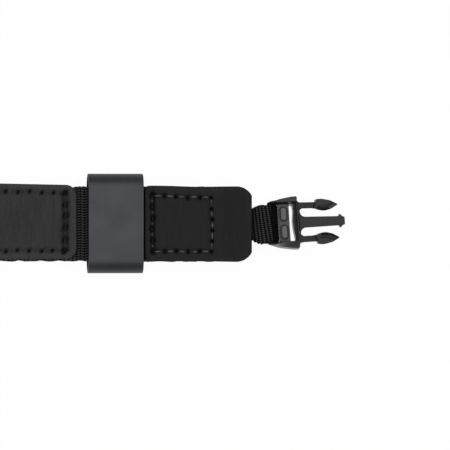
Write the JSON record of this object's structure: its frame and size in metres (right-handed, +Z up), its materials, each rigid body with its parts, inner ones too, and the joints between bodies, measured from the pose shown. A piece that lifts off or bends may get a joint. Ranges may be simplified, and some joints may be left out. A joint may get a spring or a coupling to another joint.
{
  "type": "camera wrist strap",
  "caption": "Webbing wrist loop with a sewn leather pad, a sliding metal sleeve to tighten it, a leather end tab and a quick-release buckle on a narrow webbing loop.",
  "frame": {"origin": "middle of the strap's footprint, on the surface it lies on", "axes": "+X along the strap to the buckle's tip, +Y across it, +Z up through its layers"},
  "size_m": [0.2304, 0.0262, 0.018],
  "materials": {
    "webbing": "black woven polyester webbing",
    "grain_leather": "black grain leather",
    "smooth_leather": "smooth black leather",
    "thread": "waxed sewing thread",
    "anodised_metal": "dark grey bead-blasted anodised",
    "buckle_plastic": "satin moulded acetal"
  },
  "bodies": {
    "strap": {"loop_webbing": "webbing", "wrist_pad": "grain_leather", "pad_thread": "thread", "tab_top": "smooth_leather", "tab_bottom": "smooth_leather", "tab_thread_top": "thread", "tab_thread_bottom": "thread", "buckle_webbing": "webbing"},
    "sleeve": {"sleeve": "anodised_metal"},
    "buckle": {"buckle": "buckle_plastic"}
  },
  "joints": [
    {"name": "sleeve_slide", "type": "slide", "parent": "strap", "child": "sleeve", "axis": [1, 0, 0], "range_m": [-0.09, 0]},
    {"name": "buckle_swing", "type": "hinge", "parent": "strap", "child": "buckle", "pos_m": [0.09548, 0, 0.00395], "axis": [-0.043, 0.9839, -0.1736], "range_deg": [-70, 70]}
  ]
}
